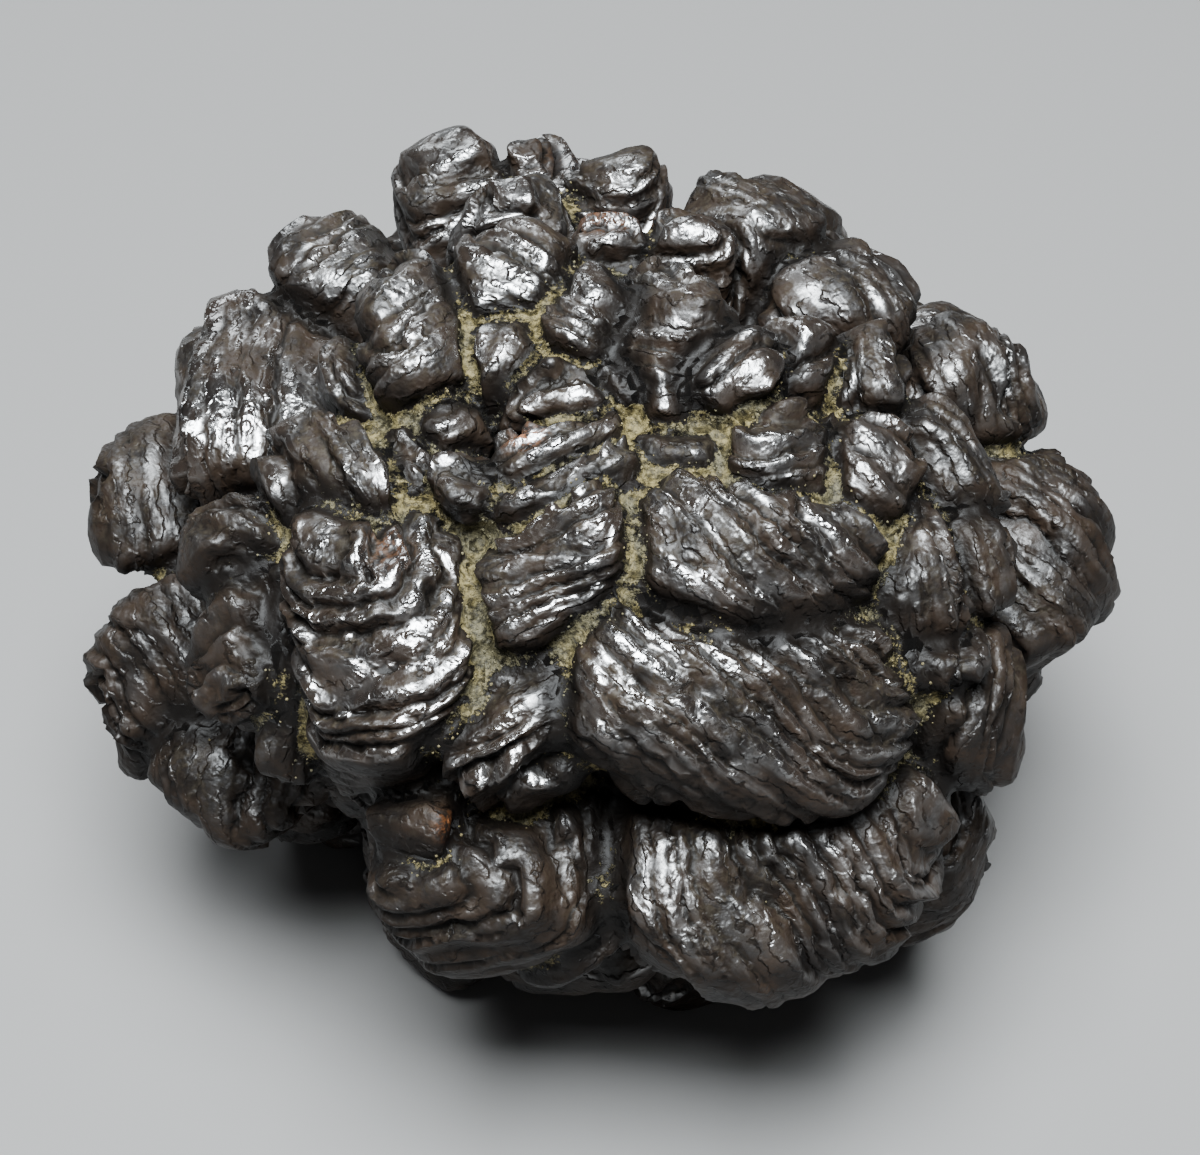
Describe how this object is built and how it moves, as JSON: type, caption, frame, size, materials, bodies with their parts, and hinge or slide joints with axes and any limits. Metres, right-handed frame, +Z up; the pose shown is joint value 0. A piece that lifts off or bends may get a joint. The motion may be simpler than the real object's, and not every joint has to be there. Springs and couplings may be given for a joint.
{
  "type": "limonite concretion",
  "caption": "Natural limonite concretion, a rounded dark brown stone made of blunt ridged crystals grown together, that stands on its worn underside.",
  "frame": {"origin": "middle of the stone's box, at the level of the flats it rests on", "axes": "+Z up, as the stone lay when pictured; +X along its longest side, to the right in the picture; -Y towards the camera"},
  "size_m": [0.0692, 0.0664, 0.0529],
  "materials": {
    "limonite": "dark brown stone with a dull metallic shine on the raised parts and pale dust in the creases"
  },
  "bodies": {
    "root": {"concretion": "limonite"}
  },
  "joints": []
}
